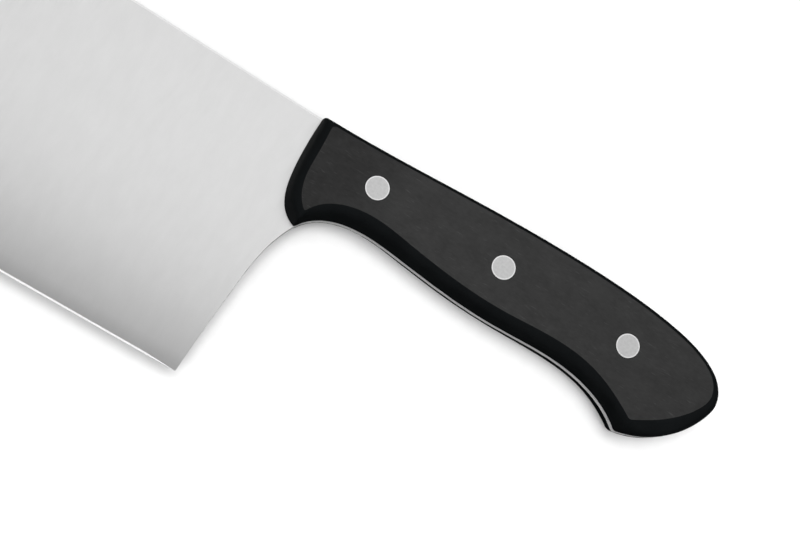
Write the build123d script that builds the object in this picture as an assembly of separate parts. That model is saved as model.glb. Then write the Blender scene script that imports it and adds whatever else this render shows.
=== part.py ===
"""A chinese cleaver with a full tang and a riveted two-scale handle.

Millimetres. The knife lies on its right side: +X runs from the blade to the
butt of the handle, +Y from the cutting edge to the spine, and +Z out of the
left side. While it is built, the origin is the middle rivet at the middle of
the sheet. At the end every piece is moved together, so that the origin is the
middle of the bottom of the whole knife.
"""
from build123d import *
from math import cos, radians, sin, tan
import os

# Blade
blade_length = 180.0          # heel to tip
blade_height = 77.1           # spine to heel corner, across the blade
tip_drop = 0.5                # how far the edge's curve ends below the heel corner
sheet_thickness = 2.2         # spine and tang
edge_thickness = 0.25         # behind the cutting bevel
edge_slope = 1.8              # degrees that the edge falls away from the spine
straight_share = 0.52         # of the blade length, from the heel
grind_width = 47.6            # how far above the edge the thinning starts
bevel_angle = 15.0            # degrees, each side of the cutting edge
spine_ease_width = 0.6        # the spine's corners are eased by a shallow bevel
spine_ease_drop = 0.12
spine_corner_radius = 3.0

# Heel, the edge of the blade that faces the hand
heel_lean = 6.0               # how far the heel corner stands ahead of the guard
heel_lean_shares = (1.0, 0.92, 0.81, 0.56, 0.0)
heel_drop_shares = (1.0, 0.735, 0.506, 0.2, 0.0)

# Handle, seen from the side
handle_length = 129.4
handle_depth = 34.2           # hook corner to crown
spine_above_rivets = 10.4
crown_above_rivets = 14.4

# Scales, the two plastic slabs
scale_thickness = 8.0
shoulder_width = 2.9          # typical width of the rounded shoulder
nose_radius = 1.2             # corner at the spine
guard_radius = 0.5            # corner at the heel
hook_radius = 1.3             # corner under the butt

# The handle's outline. Each row is one place on it: how far along the handle and
# how far up its depth it lies, and how far the shoulder moves it in, across and up,
# before it reaches the flat face. The last two are shares of the shoulder's width.
nose_shares = (0.0, 0.883, 1.1, -0.79)
front_shares = (
    (-0.001, 0.725, 1.24, 0.0),
    (0.0005, 0.56, 1.28, 0.0),
    (0.007, 0.336, 1.15, 0.2),
    (0.0247, 0.1447, 0.9, 0.88),
)
guard_shares = (0.0641, 0.0307, 0.1, 1.1)
belly_shares = (
    (0.1043, 0.184, -0.57, 0.77),
    (0.1692, 0.262, -0.14, 1.19),
    (0.2813, 0.253, 0.0, 1.03),
    (0.5085, 0.205, 0.0, 0.97),
    (0.6584, 0.228, -0.1, 1.06),
    (0.7326, 0.196, 0.24, 0.91),
    (0.806, 0.096, 0.38, 0.65),
)
hook_shares = (0.8416, 0.0015, 0.1, 1.03)
butt_shares = (
    (0.9123, 0.1038, -0.74, 1.22),
    (0.9583, 0.2456, -1.1, 0.97),
    (0.9876, 0.4108, -1.24, 0.47),
    (1.0, 0.5643, -1.24, 0.14),
    (0.983, 0.7339, -0.86, -0.62),
    (0.9304, 0.8684, -0.34, -0.84),
    (0.8377, 0.9547, -0.17, -0.83),
)
back_shares = (
    (0.6291, 1.0, 0.0, -0.81),
    (0.374, 0.9635, 0.0, -0.78),
    (0.1677, 0.9079, 0.03, -0.78),
)

# The shoulder's section: how far up the scale, how far in on the back and the butt,
# where it stands steep, and how far in on the front and the belly, where it slants.
# Each is a share.
shoulder_shares = (
    (0.0, 0.0, 0.0),
    (0.35, 0.02, 0.17),
    (0.58, 0.12, 0.3),
    (0.76, 0.33, 0.43),
    (0.9, 0.65, 0.66),
    (1.0, 1.0, 1.0),
)

# Rivets, each a sleeve from the right side and a pin from the left
rivet_names = ("front", "middle", "rear")
rivet_pitch = 39.0
front_to_middle_rivet = 60.4  # front of the handle to the middle rivet
head_diameter = 6.5
head_depth = 3.0
sleeve_diameter = 4.8
pin_diameter = 3.2
pin_reach = 9.0               # from under the pin's head to its end
seat_clearance = 0.02         # radial, between a rivet and the hole it fills
end_clearance = 0.3           # between the sleeve's end and the pin's head

# How far the cutting tools run past the work
overrun = 5.0

half_sheet = sheet_thickness / 2
front_x = -front_to_middle_rivet
low_y = crown_above_rivets - handle_depth
spine_y = spine_above_rivets
scale_face = half_sheet + scale_thickness


def place(row, inset):
    """A place on the handle's outline, moved in by a share of the shoulder."""
    along_share, up_share, in_share, in_up_share = row
    x = front_x + along_share * handle_length + inset * in_share * shoulder_width
    y = low_y + up_share * handle_depth + inset * in_up_share * shoulder_width
    return Vector(x, y)


def outline_curve(start, rows, inset, end):
    """A smooth curve between two corners, through places on the handle's outline."""
    return Spline(start, *[place(row, inset) for row in rows], end)


def round_corner(face, corner, radius):
    """Round the corner of a flat face that lies nearest to a point."""
    vertex = face.vertices().sort_by_distance(corner)[0]
    return fillet(vertex, radius)


def handle_outline(steep_inset=0, slant_inset=0):
    """The handle's outline as a flat face, with only its hook corner rounded."""
    nose = place(nose_shares, steep_inset)
    guard = place(guard_shares, slant_inset)
    hook = place(hook_shares, slant_inset)
    front = outline_curve(nose, front_shares, slant_inset, guard)
    belly = outline_curve(guard, belly_shares, slant_inset, hook)
    back = outline_curve(hook, butt_shares + back_shares, steep_inset, nose)
    return round_corner(make_face([front, belly, back]), hook, hook_radius)


def scale_section(height, steep_inset, slant_inset):
    """The scale's outline at one height above the middle of the sheet."""
    face = handle_outline(steep_inset, slant_inset)
    face = round_corner(face, place(nose_shares, steep_inset), nose_radius)
    face = round_corner(face, place(guard_shares, slant_inset), guard_radius)
    return Pos(0, 0, height) * face


# Places on the blade
guard = place(guard_shares, 0)
heel = Vector(guard.X - heel_lean, spine_y - blade_height)
tip_x = heel.X - blade_length
edge_direction = Vector(-cos(radians(edge_slope)), -sin(radians(edge_slope)))
across_edge = Vector(edge_direction.Y, -edge_direction.X)
straight_end = heel + edge_direction * (straight_share * blade_length)


def edge_path():
    """The cutting edge, straight from the heel and then curving up to the tip."""
    start = heel - edge_direction * overrun
    past_tip = Vector(tip_x - overrun, heel.Y - tip_drop)
    straight = Line(start, straight_end)
    curve = TangentArc(straight_end, past_tip, tangent=edge_direction)
    return Wire([straight, curve])


def blade_plate():
    """The part of the sheet ahead of the handle, thinned towards the edge."""
    heel_drop = guard.Y - heel.Y
    heel_places = [
        (guard.X - lean_share * heel_lean, guard.Y - drop_share * heel_drop)
        for lean_share, drop_share in zip(heel_lean_shares, heel_drop_shares)
    ]
    heel_curve = Spline(*heel_places)
    below = heel.Y - overrun
    rest = Polyline(
        (guard.X, guard.Y),
        (guard.X, spine_y),
        (tip_x, spine_y),
        (tip_x, below),
        (heel.X, below),
        (heel.X, heel.Y),
    )
    outline = make_face([heel_curve, rest])
    outline = round_corner(outline, (tip_x, spine_y), spine_corner_radius)
    sheet = extrude(Pos(0, 0, -half_sheet) * outline, sheet_thickness)

    highest = blade_height + blade_length * sin(radians(edge_slope)) + overrun
    below_edge = -2 * overrun
    half_edge = edge_thickness / 2
    left_side = TangentArc((grind_width, half_sheet), (0, half_edge), tangent=(-1, 0))
    past_edge = Polyline(
        (0, half_edge), (below_edge, half_edge), (below_edge, -half_edge), (0, -half_edge),
    )
    unground = Polyline(
        (grind_width, -half_sheet), (highest, -half_sheet),
        (highest, half_sheet), (grind_width, half_sheet),
    )
    section = make_face([left_side, past_edge, mirror(left_side, about=Plane.XZ), unground])
    behind = heel_lean + overrun
    start = heel - edge_direction * behind
    across = Plane(origin=start, x_dir=across_edge, z_dir=edge_direction)
    ground = extrude(across * section, blade_length + behind + overrun)
    return sheet & ground


def bevel_cutter():
    """What the grinder takes off the left side of the cutting edge."""
    rise = tan(radians(bevel_angle))
    below = 2 * overrun
    start = heel - edge_direction * overrun
    across = Plane(origin=start, x_dir=across_edge, z_dir=edge_direction)
    section = make_face(Polyline(
        (-below, -below * rise), (overrun, overrun * rise), (overrun, below), (-below, below),
        close=True,
    ))
    return sweep(across * section, path=edge_path())


def spine_cutter():
    """What eases the left corner of the spine, ahead of the handle."""
    start = spine_y - spine_ease_width - overrun
    extra_drop = spine_ease_drop / spine_ease_width * overrun
    section = make_face(Polyline(
        (start, half_sheet + extra_drop),
        (spine_y + overrun, half_sheet - spine_ease_drop - extra_drop),
        (spine_y + overrun, half_sheet + overrun),
        (start, half_sheet + overrun),
        close=True,
    ))
    across = Plane(origin=(tip_x - overrun, 0), x_dir=(0, 1, 0), z_dir=(1, 0, 0))
    return extrude(across * section, front_x - tip_x + overrun)


def rivet_places():
    return [((step - 1) * rivet_pitch, 0) for step in range(len(rivet_names))]


def make_blade():
    """Blade and full tang, one piece of sheet."""
    tang = extrude(Pos(0, 0, -half_sheet) * handle_outline(), sheet_thickness)
    blade = blade_plate() + tang
    for cutter in (bevel_cutter(), spine_cutter()):
        blade = blade - cutter - mirror(cutter, about=Plane.XY)
    hole_radius = sleeve_diameter / 2 + seat_clearance
    for x, y in rivet_places():
        blade -= Pos(x, y, 0) * Cylinder(hole_radius, 2 * sheet_thickness)
    return blade


def make_left_scale():
    """The scale on the left side, flat on the tang and flat on its face."""
    sections = [
        scale_section(half_sheet + height_share * scale_thickness, steep_share, slant_share)
        for height_share, steep_share, slant_share in shoulder_shares
    ]
    scale = loft(sections, ruled=True)
    shank_radius = sleeve_diameter / 2 + seat_clearance
    head_radius = head_diameter / 2 + seat_clearance
    for x, y in rivet_places():
        scale -= Pos(x, y, scale_face) * Cylinder(shank_radius, 2 * (scale_thickness + overrun))
        scale -= Pos(x, y, scale_face) * Cylinder(head_radius, 2 * head_depth)
    return scale


def make_rivet_sleeve():
    """The rivet half that goes in from the right side, with a bored shank."""
    bottom = -scale_face
    sleeve_top = scale_face - head_depth - end_clearance
    aligned = (Align.CENTER, Align.CENTER, Align.MIN)
    head = Pos(0, 0, bottom) * Cylinder(head_diameter / 2, head_depth, align=aligned)
    shank = Pos(0, 0, bottom) * Cylinder(sleeve_diameter / 2, sleeve_top - bottom, align=aligned)
    bore_bottom = scale_face - head_depth - pin_reach - end_clearance
    bore_length = sleeve_top - bore_bottom + overrun
    bore = Pos(0, 0, bore_bottom) * Cylinder(pin_diameter / 2, bore_length, align=aligned)
    return head + shank - bore


def make_rivet_pin():
    """The rivet half that goes in from the left side, pressed into the sleeve."""
    aligned = (Align.CENTER, Align.CENTER, Align.MAX)
    head = Pos(0, 0, scale_face) * Cylinder(head_diameter / 2, head_depth, align=aligned)
    shank_radius = pin_diameter / 2 - seat_clearance
    shank = Pos(0, 0, scale_face) * Cylinder(shank_radius, head_depth + pin_reach, align=aligned)
    return head + shank


left_scale = make_left_scale()
pieces = {
    "blade": make_blade(),
    "left_scale": left_scale,
    "right_scale": mirror(left_scale, about=Plane.XY),
}
sleeve = make_rivet_sleeve()
pin = make_rivet_pin()
for name, (x, y) in zip(rivet_names, rivet_places()):
    pieces[name + "_rivet_sleeve"] = Pos(x, y, 0) * sleeve
    pieces[name + "_rivet_pin"] = Pos(x, y, 0) * pin

# Move the origin to the middle of the bottom of the whole knife
box = Compound(list(pieces.values())).bounding_box()
to_origin = Pos(-box.center().X, -box.center().Y, scale_face)

os.makedirs("parts", exist_ok=True)
for name, piece in pieces.items():
    export_step(to_origin * piece, f"parts/{name}.step")
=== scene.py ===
# %% [markdown]
# # A chinese cleaver on a white table
# The knife lies on its right side, with its broad blade to the left and its riveted
# black handle to the right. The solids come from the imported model, in metres, and stay
# where they are. This lesson gives each piece its finish: satin ground steel, milled
# black plastic and turned rivets. It ends with the table, the light and the camera.

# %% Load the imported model
import bpy
from math import cos, pi, radians, sin, tan
from mathutils import Matrix, Vector


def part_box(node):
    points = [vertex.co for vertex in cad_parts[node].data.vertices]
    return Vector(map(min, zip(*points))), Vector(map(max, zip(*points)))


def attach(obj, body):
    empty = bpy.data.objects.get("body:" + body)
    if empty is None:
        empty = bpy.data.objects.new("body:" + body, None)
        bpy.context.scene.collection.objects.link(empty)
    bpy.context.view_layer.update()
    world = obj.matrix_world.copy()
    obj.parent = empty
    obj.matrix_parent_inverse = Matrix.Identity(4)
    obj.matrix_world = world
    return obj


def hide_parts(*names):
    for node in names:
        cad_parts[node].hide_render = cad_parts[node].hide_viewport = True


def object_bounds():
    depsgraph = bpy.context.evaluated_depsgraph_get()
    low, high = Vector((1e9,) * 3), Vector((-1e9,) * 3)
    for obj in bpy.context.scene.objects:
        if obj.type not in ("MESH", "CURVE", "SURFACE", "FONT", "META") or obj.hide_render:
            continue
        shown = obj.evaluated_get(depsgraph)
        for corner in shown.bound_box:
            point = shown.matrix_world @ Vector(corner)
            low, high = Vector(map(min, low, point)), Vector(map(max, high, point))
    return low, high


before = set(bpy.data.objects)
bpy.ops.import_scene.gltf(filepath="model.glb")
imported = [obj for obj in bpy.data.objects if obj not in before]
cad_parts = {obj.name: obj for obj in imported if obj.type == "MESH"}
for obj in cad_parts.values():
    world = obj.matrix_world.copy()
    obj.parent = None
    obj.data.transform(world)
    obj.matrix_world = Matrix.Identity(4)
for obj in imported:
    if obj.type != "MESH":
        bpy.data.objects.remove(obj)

mm = 0.001
cad_low, cad_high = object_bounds()
print("the packed model has", len(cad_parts), "pieces")
print("its size in mm:", [round(side / mm, 1) for side in cad_high - cad_low])

# %% [markdown]
# ## Colours and nodes
# A material is a small graph of nodes. Its colours are written as sRGB hex values, the
# way a colour picker shows them, but the renderer adds up light and needs them linear.
# One function turns one into the other. Every node takes the same few steps: it is
# added and set, and its sockets are filled in and linked. One more function does that
# for any kind of node, so that each material below reads as a list of its parts.

# %% Turn a hex colour into linear light
def linear(hex_colour):
    """An sRGB hex colour as linear red, green, blue and alpha."""
    knee, slope, offset, power = 0.04045, 12.92, 0.055, 2.4     # of the sRGB curve
    channels = [int(hex_colour[start:start + 2], 16) / 255 for start in (1, 3, 5)]
    return tuple(
        value / slope if value <= knee else ((value + offset) / (1 + offset)) ** power
        for value in channels
    ) + (1.0,)


print("the grey #808080 sends back", round(linear("#808080")[0], 2), "of the light")

# %% Add a node, and start a finish
def add_node(tree, kind, values=(), links=(), stops=(), **settings):
    """Add a node, set it, fill in its sockets, link them, and colour a ramp's stops."""
    node = tree.nodes.new("ShaderNode" + kind)
    for name, value in settings.items():
        setattr(node, name, value)
    for socket, value in values:
        node.inputs[socket].default_value = value
    for socket, source in links:
        tree.links.new(source, node.inputs[socket])
    for number, (position, colour) in enumerate(stops):
        node.color_ramp.elements[number].position = position
        node.color_ramp.elements[number].color = linear(colour)
    return node


def new_finish(name, sockets):
    """A material with a principled shader, and the shader's own sockets set."""
    finish = bpy.data.materials.new(name)
    finish.use_nodes = True
    shader = finish.node_tree.nodes["Principled BSDF"]
    for socket, value in sockets:
        shader.inputs[socket].default_value = value
    print("started the finish", name)
    return finish, finish.node_tree, shader


# %% [markdown]
# A tool that moves one way leaves streaks. An image could show them, but it has an edge
# and a fixed sharpness. A noise has neither. It reads the piece's own coordinates, in
# metres, divided by the size of a streak along X and along Y, so each pattern has the
# size of the real one.

# %% A noise drawn out into streaks
noise_low, noise_high = 0.3, 0.7     # nearly all of a noise lies between these
noise_range = [("From Min", noise_low), ("From Max", noise_high)]


def streaks(tree, size_x, size_y, detail=3.0, gain=0.5):
    """Noise drawn out into streaks, with its sizes along X and Y in metres."""
    place = add_node(tree, "TexCoord")
    mapping = add_node(
        tree, "Mapping",
        values=[("Scale", (1 / size_x, 1 / size_y, 1 / size_y))],
        links=[("Vector", place.outputs["Object"])],
    )
    noise = add_node(
        tree, "TexNoise",
        values=[("Scale", 1.0), ("Detail", detail), ("Roughness", gain)],
        links=[("Vector", mapping.outputs["Vector"])],
    )
    return noise.outputs["Fac"]


# %% [markdown]
# ## The blade's finishes
# The blade is one sheet of martensitic stainless steel. A belt ground its cheeks, with
# the grit running from the spine to the edge, so the steel has fine parallel scratches
# that way. They spread a reflection sideways and leave it sharp along them. That could
# be modelled as grooves, but at a few hundredths of a millimetre they would only
# flicker. An anisotropic shader does the same for the light, and a faint streaky noise
# shows the scratches themselves.
#
# Just above the cutting edge the steel is painted a little darker. This is painted shade,
# for the slight rounding that the hone leaves there, which mirrors less of the light.
# The edge slopes, so that band follows neither X nor Y. The material turns its own
# coordinates until one axis stands square on the edge, and darkens by that height. The
# straight part of the edge starts at the heel corner, so that is looked up first: of
# the points near the edge, it is the one furthest back.

# %% Find where the cutting edge runs
edge_slope = radians(1.8)     # the straight part of the edge drops towards the tip
to_edge = Matrix.Rotation(-edge_slope, 3, "Z")
blade_points = [point.co.copy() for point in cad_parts["blade"].data.vertices]
blade_low, blade_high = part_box("blade")
heel_corner = max(
    (place for place in blade_points if place.y < blade_low.y / 2),
    key=lambda place: place.x - place.y,
)
print("the heel corner is at", [round(value / mm, 1) for value in heel_corner], "mm")

# %% Painted shade just above the cutting edge
edge_shade_start = 1.4 * mm          # the painted shade is darkest up to here, above the edge
edge_shade_end = 4.6 * mm
edge_shade_tone = 0.89


def painted_edge_shade(tree):
    """How much of its tone the steel keeps under the painted shade, by its height above the
    straight part of the edge.
    """
    place = add_node(tree, "TexCoord")
    mapping = add_node(
        tree, "Mapping",
        values=[("Rotation", (0, 0, -edge_slope)), ("Location", -(to_edge @ heel_corner))],
        links=[("Vector", place.outputs["Object"])],
    )
    height = add_node(tree, "SeparateXYZ", links=[("Vector", mapping.outputs["Vector"])])
    share = add_node(
        tree, "MapRange",
        values=[
            ("From Min", edge_shade_start), ("From Max", edge_shade_end), ("To Min", edge_shade_tone), ("To Max", 1.0),
        ],
        links=[("Value", height.outputs["Y"])],
    )
    return share.outputs["Result"]


# %% Satin ground stainless steel, on the blade's cheeks
scratch_width = 0.45 * mm     # drawn coarser than the real grit, so that it shows
scratch_length = 9 * mm
scratch_depth = 0.01 * mm
patch_width = 3 * mm          # the belt's pressure varies, and leaves faint patches
patch_length = 8 * mm


def make_ground_steel():
    """A bare metal with a sheen drawn out across its scratches, even in tone but for a painted
    shade above the edge.
    """
    finish, tree, shader = new_finish("satin_ground_stainless", [
        ("Metallic", 1.0),
        ("Anisotropic", 0.6),
    ])
    scratches = streaks(tree, scratch_width, scratch_length)
    patches = streaks(tree, patch_width, patch_length, gain=0.7)
    tone = add_node(
        tree, "ValToRGB",
        stops=[(noise_low, "#C0C0C0"), (noise_high, "#C3C3C3")],
        links=[("Fac", patches)],
    )
    # the tone is darkened by the painted shade above the edge
    edge_shaded = add_node(
        tree, "VectorMath",
        operation="SCALE",
        links=[("Vector", tone.outputs["Color"]), ("Scale", painted_edge_shade(tree))],
    )
    polish = add_node(
        tree, "MapRange",
        values=noise_range + [("To Min", 0.3), ("To Max", 0.33)],
        links=[("Value", scratches)],
    )
    bump = add_node(
        tree, "Bump",
        values=[("Strength", 0.05), ("Distance", scratch_depth)],
        links=[("Height", scratches)],
    )
    spread = add_node(tree, "Tangent", direction_type="UV_MAP")
    tree.links.new(edge_shaded.outputs["Vector"], shader.inputs["Base Color"])
    tree.links.new(polish.outputs["Result"], shader.inputs["Roughness"])
    tree.links.new(bump.outputs["Normal"], shader.inputs["Normal"])
    tree.links.new(spread.outputs["Tangent"], shader.inputs["Tangent"])
    return finish


ground_steel = make_ground_steel()

# %% [markdown]
# Two more surfaces of the sheet differ. The cutting bevel is honed on a fine wheel, so
# it is smoother and brighter. The sheet's narrow edges, along the spine, the heel and
# the tang between the scales, are left as a coarse belt leaves them, and so is the eased
# corner of the spine. That surface scatters the light almost as paper does, which is
# why it counts as only half a metal here. Both could be one material with a mask, but
# two plain ones are easier to set, and each face gets the one that it has.

# %% Honed steel, on the cutting bevel, and belted steel, on the sheet's edges
hone_width = 0.25 * mm        # drawn coarser than the real hone's lines
hone_length = 2 * mm
belt_grain = 0.3 * mm         # drawn coarser than the real belt's grit


def make_plain_steel(name, metallic, grain, tones, roughness):
    """Steel without a direction, mottled by a noise in its colour and its polish."""
    finish, tree, shader = new_finish(name, [("Metallic", metallic)])
    grains = streaks(tree, *grain)
    dark, light = tones
    tone = add_node(
        tree, "ValToRGB",
        stops=[(noise_low, dark), (noise_high, light)],
        links=[("Fac", grains)],
    )
    smooth, coarse = roughness
    polish = add_node(
        tree, "MapRange",
        values=noise_range + [("To Min", smooth), ("To Max", coarse)],
        links=[("Value", grains)],
    )
    tree.links.new(tone.outputs["Color"], shader.inputs["Base Color"])
    tree.links.new(polish.outputs["Result"], shader.inputs["Roughness"])
    return finish


# a bright line, with a soft mirror image
honed_steel = make_plain_steel(
    "honed_stainless",
    metallic=1.0, grain=(hone_width, hone_length),
    tones=("#E4E4E4", "#F0F0F0"), roughness=(0.22, 0.28),
)
# an even pale grey, from whichever side it is seen
belted_steel = make_plain_steel(
    "belted_stainless",
    metallic=0.5, grain=(belt_grain, belt_grain),
    tones=("#D4D4D4", "#E4E4E4"), roughness=(0.5, 0.6),
)

# %% [markdown]
# ## The blade
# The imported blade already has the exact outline, the thinning towards the edge and the
# cutting bevel. Its triangles are loose and flat, so the thinned cheek would show as
# facets. It could be drawn anew, but the outline is the one thing that must not move.
# So a copy is taken, its triangles are joined and flat stretches become single faces.
# A piece is shaped in edit mode, as by hand.

# %% Open a piece for shaping, and close it
same_place = 0.002 * mm


def select_only(piece):
    """Make a piece the only one selected, and the one that operators act on."""
    for thing in bpy.context.selected_objects:
        thing.select_set(False)
    piece.select_set(True)
    bpy.context.view_layer.objects.active = piece


def open_piece(piece):
    """Go into edit mode on one piece, with none of it selected."""
    select_only(piece)
    bpy.ops.object.mode_set(mode="EDIT")
    bpy.ops.mesh.select_all(action="DESELECT")


def close_piece():
    bpy.ops.object.mode_set(mode="OBJECT")


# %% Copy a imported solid, joined into one skin
flat_angle = radians(0.2)


def copy_node(node, name, finishes):
    """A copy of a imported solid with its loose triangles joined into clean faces."""
    piece = bpy.data.objects.new(name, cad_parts[node].data.copy())
    bpy.context.scene.collection.objects.link(piece)
    piece.data.materials.clear()
    for finish in finishes:
        piece.data.materials.append(finish)
    open_piece(piece)
    bpy.ops.mesh.customdata_custom_splitnormals_clear()
    bpy.ops.mesh.select_all(action="SELECT")
    bpy.ops.mesh.remove_doubles(threshold=same_place)
    bpy.ops.mesh.dissolve_limited(angle_limit=flat_angle)
    close_piece()
    print("copied", node, "as", len(piece.data.polygons), "joined faces")
    return piece


blade = copy_node("blade", "ground_blade", (ground_steel, honed_steel, belted_steel))

# %% [markdown]
# An operator in edit mode acts on all that is selected, so each step starts by
# selecting only what it should change. Faces could be picked by number, but numbers
# change with every cut. They are picked by where they lie or how they tilt, which still
# holds when a size changes. The same picking gives each face its finish.

# %% Pick parts of a piece, and paint its faces
def pick(piece, kind, wanted):
    """In edit mode, select only the vertices or faces that are wanted."""
    bpy.ops.mesh.select_mode(type=kind)
    bpy.ops.mesh.select_all(action="DESELECT")
    bpy.ops.object.mode_set(mode="OBJECT")
    parts = {"VERT": piece.data.vertices, "FACE": piece.data.polygons}[kind]
    for part in parts:
        part.select = wanted(part)
    bpy.ops.object.mode_set(mode="EDIT")


def paint(piece, slot_number, wanted):
    """In edit mode, give the wanted faces one of the piece's finishes."""
    pick(piece, "FACE", wanted)
    piece.active_material_index = slot_number
    bpy.ops.object.material_slot_assign()


# %% [markdown]
# A hone cut a narrow bevel into both sides of the edge. On the real knife the wheel
# lifts off just before the heel, so the bright line gets thinner there and ends in the
# corner. The bevel could be cut again from a plain sheet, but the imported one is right
# everywhere else. So its faces are cut across where the hone starts to lift, and the
# top of the bevel is lowered there and at the corner. It moves along the bevel's own
# slope, towards the middle of the sheet as well as down, so the angle stays the same.

# %% Let the cutting bevel run out at the heel
cheek_tilt = cos(radians(5))  # what tilts less than this belongs to a cheek
hone_angle = radians(15)
hone_tilt = cos(radians(25))  # and what tilts more than this is an edge of the sheet
hone_leave = 9 * mm           # from the heel: the hone starts to lift off the edge here
hone_drop = 0.1 * mm          # how much narrower the bevel is there
heel_drop = 0.5 * mm          # and at the heel itself
near_cut = 0.1 * mm           # a point that lies this close to the cut is on it
sheet_middle = (blade_low.z + blade_high.z) / 2


def is_honed(face):
    """Whether a face tilts as the cutting bevel does, and lies on the edge's side."""
    return hone_tilt <= abs(face.normal.z) < cheek_tilt and face.center.y < 0


def narrow_hone(x, drop):
    """Lower the top of the cutting bevel at one place, along its own slope."""
    open_piece(blade)
    points = blade.data.vertices
    honed = {point for face in blade.data.polygons if is_honed(face) for point in face.vertices}
    top = [
        point for point in honed
        if abs(points[point].co.x - x) < near_cut
        and abs(points[point].co.z - sheet_middle) > same_place
    ]
    half = abs(points[top[0]].co.z - sheet_middle)
    pick(blade, "VERT", lambda point: point.index in top)
    bpy.ops.transform.translate(value=(0, -drop, 0))
    bpy.ops.transform.resize(
        value=(1, 1, 1 - drop * tan(hone_angle) / half),
        center_override=(0, 0, sheet_middle),
    )
    close_piece()
    print("narrowed the bevel at", round(x / mm, 1), "mm, on", len(top), "points")


leave_x = heel_corner.x - hone_leave
open_piece(blade)
pick(blade, "FACE", is_honed)
bpy.ops.mesh.bisect(plane_co=(leave_x, 0, 0), plane_no=(1, 0, 0))
close_piece()
narrow_hone(leave_x, hone_drop)
narrow_hone(heel_corner.x, heel_drop)

# %% [markdown]
# The copy's faces then fall into three kinds. Those that lie almost level are the
# ground cheeks. Those on the edge's side that tilt a little are the honed bevel. All
# others are edges of the sheet, left by the belt. A box map from above gives the
# cheeks' shader the direction in which it spreads the light.

# %% Paint the blade's three surfaces
map_size = 100 * mm
cheek_smooth = radians(9)     # wide enough for the thinned cheek, and not for the bevel

open_piece(blade)
paint(blade, 2, lambda face: abs(face.normal.z) < cheek_tilt)
paint(blade, 1, is_honed)
paint(blade, 0, lambda face: abs(face.normal.z) >= cheek_tilt)
bpy.ops.mesh.select_all(action="SELECT")
bpy.ops.uv.cube_project(cube_size=map_size)
close_piece()
select_only(blade)
bpy.ops.object.shade_smooth_by_angle(angle=cheek_smooth)
for number, finish in enumerate(blade.data.materials):
    painted = [face for face in blade.data.polygons if face.material_index == number]
    print(finish.name, "is on", len(painted), "of the blade's faces")

# %% [markdown]
# A finished piece takes the place of its imported solid, which is hidden, and moves with
# a body. The knife has no moving parts, so every piece rides on the one body, root.

# %% Hide the blade's imported solid, and let the blade ride on the root body
def finish_piece(piece, node):
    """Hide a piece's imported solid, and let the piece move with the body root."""
    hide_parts(node)
    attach(piece, "root")
    print(piece.name, "stands for", node, "with", len(piece.data.polygons), "faces")


finish_piece(blade, "blade")

# %% [markdown]
# ## The handle's finishes
# The scales are acetal, a hard black plastic that is moulded solid and then milled. The
# flat faces keep a satin surface with faint marks along the handle and hairline scuffs
# from use. A palm polishes the grip, so it shines a little more than the front. The
# shoulders are buffed by hand. They have no marks, and they send back so little of the
# light that they look blacker. Marks could be cut into the mesh, but they are thinner
# than a hair, so noises in the tone, the polish and a slight bump draw them.

# %% Where a palm has polished the handle
polish_start = 36 * mm        # along the handle: the palm polishes the grip from here
polish_full = 56 * mm
dry_share = 0.68              # how much of the grip's shine the front has


def add_palm_polish(tree, marks):
    """The shine of the flat face, which grows along the handle to where a palm holds it."""
    place = add_node(tree, "TexCoord")
    along = add_node(tree, "SeparateXYZ", links=[("Vector", place.outputs["Object"])])
    held = add_node(
        tree, "MapRange",
        interpolation_type="SMOOTHSTEP",
        values=[("From Min", polish_start), ("From Max", polish_full), ("To Min", dry_share)],
        links=[("Value", along.outputs["X"])],
    )
    milled = add_node(
        tree, "MapRange",
        values=noise_range + [("To Min", 0.45), ("To Max", 0.53)],
        links=[("Value", marks)],
    )
    return add_node(
        tree, "Math",
        operation="MULTIPLY",
        links=[(0, held.outputs["Result"]), (1, milled.outputs["Result"])],
    )


# %% Milled black acetal, on the flat faces
mark_length = 6 * mm
mark_width = 4 * mm
mark_depth = 0.02 * mm
fleck_length = 1.5 * mm
fleck_width = 0.7 * mm        # drawn coarser than the real mill marks, so that they show
scuff_length = 3 * mm
scuff_width = 0.3 * mm        # drawn coarser than the real hairlines, so that they show
scuff_low, scuff_high = 0.67, 0.78    # only the peaks of the noise are scuffs
acetal_ior = 1.48
black = "#080808"


def make_milled_acetal():
    """A satin black, with short pale strokes along the handle."""
    finish, tree, shader = new_finish("milled_black_acetal", [("IOR", acetal_ior)])
    marks = streaks(tree, mark_length, mark_width, gain=0.6)
    flecks = streaks(tree, fleck_length, fleck_width, detail=2.0)
    scuffs = streaks(tree, scuff_length, scuff_width, detail=1.0)
    fleck_tone = add_node(
        tree, "ValToRGB",
        stops=[(noise_low, black), (noise_high, "#131313")],
        links=[("Fac", flecks)],
    )
    scuff_tone = add_node(
        tree, "ValToRGB",
        stops=[(scuff_low, black), (scuff_high, "#282828")],
        links=[("Fac", scuffs)],
    )
    tone = add_node(
        tree, "MixRGB",
        blend_type="LIGHTEN",
        values=[("Fac", 1.0)],
        links=[("Color1", fleck_tone.outputs["Color"]), ("Color2", scuff_tone.outputs["Color"])],
    )
    polish = add_node(
        tree, "MapRange",
        values=noise_range + [("To Min", 0.48), ("To Max", 0.44)],
        links=[("Value", marks)],
    )
    bump = add_node(
        tree, "Bump",
        values=[("Strength", 0.08), ("Distance", mark_depth)],
        links=[("Height", flecks)],
    )
    shine = add_palm_polish(tree, marks)
    tree.links.new(tone.outputs["Color"], shader.inputs["Base Color"])
    tree.links.new(shine.outputs["Value"], shader.inputs["Specular IOR Level"])
    tree.links.new(polish.outputs["Result"], shader.inputs["Roughness"])
    tree.links.new(bump.outputs["Normal"], shader.inputs["Normal"])
    return finish


milled_acetal = make_milled_acetal()

# %% Buffed black acetal, on the shoulders
cloud_size = 6 * mm           # the buffing wheel's pressure varies about as widely


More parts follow.
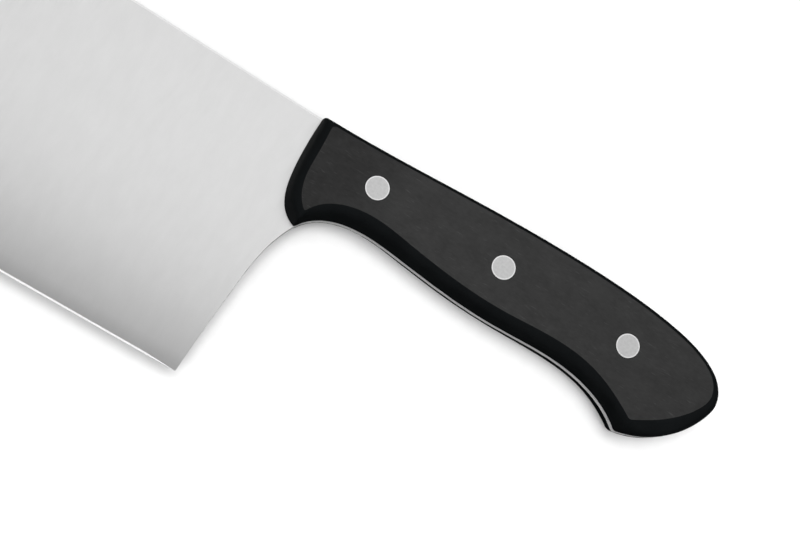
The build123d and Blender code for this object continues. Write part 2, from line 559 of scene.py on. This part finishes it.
def make_buffed_acetal():
    """A deep, nearly even black, which hardly mirrors the lamps."""
    finish, tree, shader = new_finish("buffed_black_acetal", [
        ("IOR", acetal_ior),
        ("Specular IOR Level", 0.04),
    ])
    clouds = streaks(tree, cloud_size, cloud_size, detail=2.0)
    tone = add_node(
        tree, "ValToRGB",
        stops=[(noise_low, "#0C0E0F"), (noise_high, "#0F1112")],
        links=[("Fac", clouds)],
    )
    polish = add_node(
        tree, "MapRange",
        values=noise_range + [("To Min", 0.55), ("To Max", 0.62)],
        links=[("Value", clouds)],
    )
    tree.links.new(tone.outputs["Color"], shader.inputs["Base Color"])
    tree.links.new(polish.outputs["Result"], shader.inputs["Roughness"])
    return finish


buffed_acetal = make_buffed_acetal()

# %% [markdown]
# ## The scales
# A scale is a slab with a flat face and rounded shoulders that meet it in a crisp
# crease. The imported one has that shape, but held against the photograph it is still a
# few tenths of a millimetre off. The real belly is fuller in its middle, the shoulder
# along the back slants more, the front stands further ahead, and its corner at the
# spine is crisper. Proportional editing could move such places, but it takes along all
# that lies in a ball. A formula over the points moves only what it should, so each of
# the four is one. They work with how far up the scale's side a point lies.

# %% How far up a scale a point lies
def share_up(height, seat, flat):
    """0 for a height on the scale's seat, and 1 for one on its flat face."""
    return (height - seat) / (flat - seat)


rivets_low, rivets_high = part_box("middle_rivet_pin")
print("the rivets' heads are", round((rivets_high.x - rivets_low.x) / mm, 1), "mm across")

# %% A fuller belly and a more slanted back
belly_swell = 0.46 * mm
swell_middle = 107 * mm       # along the handle
swell_reach = 24 * mm         # each way from there
back_ease = 0.3 * mm
back_depth = 4 * mm           # from the rivets' heads, the slant grows over this much


def fill_belly(scale, seat, flat):
    """Swell the side of the belly, and leave its seat, its crease and its ends alone."""
    for point in scale.data.vertices:
        along = (point.co.x - swell_middle) / swell_reach
        up = share_up(point.co.z, seat, flat)
        if abs(along) < 1 and 0 < up < 1 and point.co.y < rivets_low.y:
            point.co.y -= belly_swell * cos(along * pi / 2) ** 2 * sin(up * pi)


def slant_back(scale, seat, flat):
    """Draw in the middle of the shoulder along the back, so that it slants more."""
    for point in scale.data.vertices:
        above = min(1, (point.co.y - rivets_high.y) / back_depth)
        up = share_up(point.co.z, seat, flat)
        if above > 0 and 0 < up < 1:
            point.co.y -= back_ease * above * sin(up * pi)


# %% A crisper corner at the spine, and a front that stands further ahead
nose_size = 2.3 * mm          # the handle's corner at the spine lies within this
nose_sharpness = 0.7          # at the seat, its round loses this share of its size
front_reach = 0.22 * mm
front_depth = 9 * mm
spine_y = max(place.y for place in blade_points if place.x < 0)
print("the spine is", round(spine_y / mm, 1), "mm from the middle of the part")


def sharpen_nose(scale, front_x, seat, flat):
    """Draw the round of the corner at the spine towards its point, most at the seat."""
    levels = {}
    for point in scale.data.vertices:
        if point.co.x < front_x + nose_size and point.co.y > spine_y - nose_size:
            levels.setdefault(round(point.co.z / same_place), []).append(point.co)
    for places in levels.values():
        point_x = min(place.x for place in places)
        point_y = max(place.y for place in places)
        up = share_up(places[0].z, seat, flat)
        kept = 1 - nose_sharpness * (1 - up ** 3)
        for place in places:
            place.x = point_x + (place.x - point_x) * kept
            place.y = point_y + (place.y - point_y) * kept


def reach_forward(scale, front_x):
    """Move the front of the handle ahead, and less the further back a point lies."""
    for point in scale.data.vertices:
        behind = (point.co.x - front_x) / front_depth
        if behind < 1:
            point.co.x -= front_reach * (1 - behind)


# %% [markdown]
# A perfectly sharp crease never catches light, so every sharp edge gets a very small
# bevel, as a buffing wheel would leave it. A bevel could be made in edit mode, edge by
# edge, but the modifier finds them all by their angle. Its first step, next to the
# flat face, still has the milled finish, and everything below it is buffed.

# %% Make the two scales
crease_angle = radians(30)
crease_width = 0.12 * mm
face_tilt = cos(radians(2))   # what tilts less than this belongs to a flat face


def apply_modifier(piece, kind, **settings):
    """Add a modifier to a piece, set it and apply it."""
    select_only(piece)
    modifier = piece.modifiers.new(kind.title(), kind)
    for name, value in settings.items():
        setattr(modifier, name, value)
    bpy.ops.object.modifier_apply(modifier=modifier.name)


def make_scale(node, name):
    """A scale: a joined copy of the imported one, worked over, eased and painted."""
    scale = copy_node(node, name, (milled_acetal, buffed_acetal))
    low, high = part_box(node)
    seat, flat = sorted((low.z, high.z), key=lambda height: abs(height - sheet_middle))
    fill_belly(scale, seat, flat)
    sharpen_nose(scale, low.x, seat, flat)
    slant_back(scale, seat, flat)
    reach_forward(scale, low.x)
    apply_modifier(
        scale, "BEVEL", width=crease_width, segments=2, limit_method="ANGLE",
        angle_limit=crease_angle, use_clamp_overlap=False,
    )
    open_piece(scale)
    bpy.ops.mesh.select_all(action="SELECT")
    bpy.ops.mesh.remove_doubles(threshold=same_place)   # the bevel's ends meet in one point
    paint(scale, 1, lambda face: abs(face.normal.z) < face_tilt)
    paint(scale, 0, lambda face: (
        abs(face.normal.z) >= face_tilt or abs(face.center.z - flat) < crease_width / 4
    ))
    close_piece()
    select_only(scale)
    bpy.ops.object.shade_smooth_by_angle(angle=crease_angle)
    apply_modifier(scale, "WEIGHTED_NORMAL", keep_sharp=True)
    return scale


for side in ("left", "right"):
    scale = make_scale(side + "_scale", side + "_acetal_scale")
    finish_piece(scale, side + "_scale")

# %% [markdown]
# ## The rivets' finishes
# A rivet's head is turned and then ground flush with the plastic, which leaves a dull,
# fine grain. Its rim is burnished by the tool that sets it, so it is smoother, and it is
# also painted paler, a painted highlight that shows as a brighter ring. Both are the same
# steel, so the function for plain steel makes them, with other tones.

# %% Turned steel, for the heads, and burnished steel with a painted highlight, for their rims
turned_grain = 0.8 * mm       # drawn coarser than the real turning marks

# a dull grey, a little darker than the blade
turned_steel = make_plain_steel(
    "turned_stainless",
    metallic=1.0, grain=(turned_grain, turned_grain),
    tones=("#B6B6B6", "#C6C6C6"), roughness=(0.38, 0.46),
)
# a fine bright ring: burnished, and paler as a painted highlight
burnished_highlight_steel = make_plain_steel(
    "burnished_highlight_stainless",
    metallic=1.0, grain=(turned_grain, turned_grain),
    tones=("#D2D2D2", "#DADADA"), roughness=(0.36, 0.4),
)

# %% [markdown]
# ## The rivets
# Each rivet is two turned parts: a sleeve from the right side and a pin from the left,
# pressed into it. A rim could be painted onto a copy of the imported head, but a real
# ring of faces keeps its finish from every side. So the parts are turned anew: each
# starts as a cylinder, the head, and its shank is inset and extruded from that. The
# corner of a head is eased, and shows as a fine dark ring round the bright one.

# %% Start a rivet part with its head
head_depth = 3.0 * mm
round_steps = 96


def add_head(name, low, high, head_middle):
    """The head of a rivet part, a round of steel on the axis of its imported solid."""
    bpy.ops.mesh.primitive_cylinder_add(
        vertices=round_steps,
        radius=(high.x - low.x) / 2,
        depth=head_depth,
        location=((low.x + high.x) / 2, (low.y + high.y) / 2, head_middle),
    )
    head = bpy.context.active_object
    head.name = name
    select_only(head)
    bpy.ops.object.transform_apply(location=True, rotation=True, scale=True)
    head.data.materials.append(turned_steel)
    head.data.materials.append(burnished_highlight_steel)
    print("started", name, "with a head", round((high.x - low.x) / mm, 1), "mm across")
    return head


# %% Ease a head's corner, and burnish its rim with a painted highlight
rim_width = 0.3 * mm
ease_width = 0.02 * mm
ease_depth = 0.05 * mm
facing = 0.9                  # how much of a face's normal has to point up or down


def faces_at(height, up):
    """A test for flat faces at one height that face up (1) or down (-1)."""
    return lambda face: abs(face.center.z - height) < same_place and face.normal.z * up > facing


def burnish_and_highlight_rim(piece, height, up):
    """Ease the corner of a head, then inset a ring and give it its own finish, paler as a painted
    highlight.
    """
    pick(piece, "FACE", faces_at(height, up))
    bpy.ops.transform.translate(value=(0, 0, -up * ease_depth))
    bpy.ops.mesh.inset(thickness=ease_width, depth=ease_depth)
    bpy.ops.mesh.inset(thickness=rim_width)
    ring = faces_at(height, up)
    # the ring gets the paler steel: burnished, and a painted highlight
    paint(piece, 1, lambda face: ring(face) and len(face.vertices) == 4)
    bpy.ops.mesh.select_all(action="DESELECT")


# %% Turn the pin
pin_shank_radius = 1.58 * mm


def turn_pin(low, high):
    """The pin: a head on the left side and a solid shank under it."""
    pin = add_head("turned_pin", low, high, high.z - head_depth / 2)
    head_radius = (high.x - low.x) / 2
    under_head = high.z - head_depth
    open_piece(pin)
    pick(pin, "FACE", faces_at(under_head, -1))
    bpy.ops.mesh.inset(thickness=head_radius - pin_shank_radius)
    bpy.ops.mesh.extrude_region_move(
        TRANSFORM_OT_translate={"value": (0, 0, low.z - under_head)},
    )
    burnish_and_highlight_rim(pin, high.z, 1)
    close_piece()
    bpy.ops.object.shade_smooth_by_angle(angle=crease_angle)
    return pin


pin_pattern = turn_pin(*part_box("middle_rivet_pin"))

# %% Turn the sleeve
sleeve_shank_radius = 2.4 * mm
bore_radius = 1.6 * mm
bore_floor = 5.9 * mm         # above the bottom of the knife


def turn_sleeve(low, high):
    """The sleeve: a head on the right side and a bored shank above it."""
    sleeve = add_head("turned_sleeve", low, high, low.z + head_depth / 2)
    head_radius = (high.x - low.x) / 2
    above_head = low.z + head_depth
    open_piece(sleeve)
    pick(sleeve, "FACE", faces_at(above_head, 1))
    bpy.ops.mesh.inset(thickness=head_radius - sleeve_shank_radius)
    bpy.ops.mesh.extrude_region_move(
        TRANSFORM_OT_translate={"value": (0, 0, high.z - above_head)},
    )
    bpy.ops.mesh.inset(thickness=sleeve_shank_radius - bore_radius)
    bpy.ops.mesh.extrude_region_move(
        TRANSFORM_OT_translate={"value": (0, 0, bore_floor - high.z)},
    )
    burnish_and_highlight_rim(sleeve, low.z, -1)
    close_piece()
    bpy.ops.object.shade_smooth_by_angle(angle=crease_angle)
    return sleeve


sleeve_pattern = turn_sleeve(*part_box("middle_rivet_sleeve"))

# %% [markdown]
# The three rivets are alike, so each part is turned once and copied to the places of
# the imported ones. A linked copy would save memory, but each piece needs a mesh of its
# own, with its place in the mesh. The two patterns are then taken away.

# %% Copy them to the three rivets
rivet_names = ("front", "middle", "rear")


def copy_to(pattern, pattern_node, node, name):
    """A copy of a turned part, with its own mesh, on the axis of another rivet."""
    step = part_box(node)[0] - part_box(pattern_node)[0]
    select_only(pattern)
    bpy.ops.object.duplicate_move(TRANSFORM_OT_translate={"value": step})
    piece = bpy.context.active_object
    piece.name = name
    bpy.ops.object.transform_apply(location=True, rotation=True, scale=True)
    return piece


patterns = {"pin": pin_pattern, "sleeve": sleeve_pattern}
for rivet in rivet_names:
    for part, pattern in patterns.items():
        node = rivet + "_rivet_" + part
        piece = copy_to(pattern, "middle_rivet_" + part, node, rivet + "_turned_" + part)
        finish_piece(piece, node)
for pattern in patterns.values():
    bpy.data.objects.remove(pattern)

# %% [markdown]
# ## The table
# The knife lies on a white laminate, matt and almost without a grain. It is a stage and
# no part of the knife. A white plane could also mirror itself in the steel and wash out
# its sheen, so the table is hidden from mirror rays. It still catches the shadows.

# %% The white table
table_size = 6.0
laminate_grain = 4 * mm


def make_laminate():
    """A matt white, which shows nothing but the soft shadows."""
    finish, tree, shader = new_finish("white_laminate", [("Roughness", 0.9)])
    tone = add_node(
        tree, "ValToRGB",
        stops=[(noise_low, "#E8E8E8"), (noise_high, "#EBEBEB")],
        links=[("Fac", streaks(tree, laminate_grain, laminate_grain))],
    )
    tree.links.new(tone.outputs["Color"], shader.inputs["Base Color"])
    return finish


bpy.ops.mesh.primitive_plane_add(size=table_size, location=(0, 0, cad_low.z))
table = bpy.context.active_object
table.name = "white_table"
table.data.materials.append(make_laminate())
table.visible_glossy = False
print(table.name, "is", round(table.dimensions.x, 1), "m wide")

# %% [markdown]
# ## The light
# The blade is nearly a mirror, so what it faces matters more than how bright it is. It
# mirrors a broad soft box overhead, which the scratches blur into an even sheen that
# gets darker towards the edge. One lamp could light it all, but then the white of the
# table and the grey of the steel would hang together. So the lamps for the table are
# hidden from mirror rays, and the two can be set apart.

# %% Soft boxes that the steel mirrors, and lamps for the table
lamp_height = 1.4
knife = (0, 0, 0)


def add_softbox(name, place, width, depth, watts, aim=None, seen_in_steel=True):
    """A soft light at a place, that looks straight down or at what it is aimed at."""
    bpy.ops.object.light_add(type="AREA", location=place)
    lamp = bpy.context.active_object
    lamp.name = name
    if aim is not None:
        towards = Vector(aim) - Vector(place)
        lamp.rotation_euler = towards.to_track_quat("-Z", "Y").to_euler()
    lamp.data.shape = "RECTANGLE"
    lamp.data.size = width
    lamp.data.size_y = depth
    lamp.data.energy = watts
    lamp.visible_glossy = seen_in_steel
    print(name, "gives", watts, "W")
    return lamp


add_softbox("overhead_softbox", (-0.2, 0.4, lamp_height), width=1.6, depth=0.78, watts=5.4)
add_softbox("back_softbox", (-0.2, 1.5, lamp_height), width=1.6, depth=0.6, watts=5.0)
add_softbox("front_softbox", (-0.2, -0.62, lamp_height), width=1.6, depth=0.24, watts=2.5)
add_softbox("right_softbox", (0.6, 0.6, 1.2), width=0.5, depth=0.5, watts=0.9, aim=knife)
add_softbox(
    "table_lamp", (0.1, -0.05, 1.5), width=0.8, depth=0.8, watts=17.4, seen_in_steel=False,
)
add_softbox(
    "left_table_lamp", (-0.5, -0.6, 1.3), width=0.6, depth=0.6, watts=3.2,
    aim=knife, seen_in_steel=False,
)
add_softbox(
    "right_table_lamp", (0.7, -0.45, 1.2), width=0.6, depth=0.6, watts=2.0,
    aim=knife, seen_in_steel=False,
)

# %% [markdown]
# Between the soft boxes the steel mirrors the studio itself. A picture of a room could
# stand for it, but the blade blurs it to a few tones, so two soft steps are enough:
# pale walls that start at the table, and a dim ceiling above them. Each step runs over
# a height on the sky, which is 0 on the horizon and 1 straight overhead. The colours
# are then shown as they are, with the plain view transform.

# %% Pale walls and a dim ceiling
wall_glow = 0.6
ceiling_glow = 0.15
wall_foot, wall_full = 0.02, 0.14
ceiling_edge, ceiling_full = 0.36, 0.56


def make_studio_walls():
    """A world that glows at the walls, less at the ceiling, and is black below."""
    world = bpy.data.worlds.new("studio_walls")
    bpy.context.scene.world = world
    world.use_nodes = True
    tree = world.node_tree
    place = add_node(tree, "TexCoord")
    split = add_node(tree, "SeparateXYZ", links=[("Vector", place.outputs["Generated"])])
    walls = add_node(
        tree, "MapRange",
        interpolation_type="SMOOTHSTEP",
        values=[("From Min", wall_foot), ("From Max", wall_full), ("To Max", wall_glow)],
        links=[("Value", split.outputs["Z"])],
    )
    ceiling = add_node(
        tree, "MapRange",
        interpolation_type="SMOOTHSTEP",
        values=[
            ("From Min", ceiling_edge), ("From Max", ceiling_full),
            ("To Max", wall_glow - ceiling_glow),
        ],
        links=[("Value", split.outputs["Z"])],
    )
    glow = add_node(
        tree, "Math",
        operation="SUBTRACT",
        links=[(0, walls.outputs["Result"]), (1, ceiling.outputs["Result"])],
    )
    background = tree.nodes["Background"]
    background.inputs["Color"].default_value = linear("#FFFFFF")
    tree.links.new(glow.outputs["Value"], background.inputs["Strength"])


make_studio_walls()
bpy.context.scene.view_settings.view_transform = "Standard"
print("the walls glow", round(wall_glow / ceiling_glow, 1), "times as bright as the ceiling")

# %% [markdown]
# ## The camera
# The photograph was taken from above the blade, leaning a little towards the cutting
# edge. The camera could be placed by eye, but its place and turn were worked out from
# the outlines of the blade and the handle. Its place is measured from the middle rivet,
# the one point of the knife that is easy to find in the picture.

# %% The camera
camera_from_rivet = Vector((-51.45, -104.0, 364.6)) * mm   # from the top of the rivet's head
camera_turn = (9.583, -10.815, 30.629)                     # degrees about X, Y and Z
focal_length = 65.66
sensor_width = 36.0


def add_camera():
    """The camera, at its measured place from the middle rivet's head."""
    low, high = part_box("middle_rivet_pin")
    rivet_head = Vector(((low.x + high.x) / 2, (low.y + high.y) / 2, high.z))
    bpy.ops.object.camera_add(
        location=rivet_head + camera_from_rivet,
        rotation=[radians(turn) for turn in camera_turn],
    )
    camera = bpy.context.active_object
    camera.data.lens = focal_length
    camera.data.sensor_width = sensor_width
    bpy.context.scene.camera = camera
    return camera


camera = add_camera()
print("the camera is at", [round(value / mm, 1) for value in camera.location], "mm")
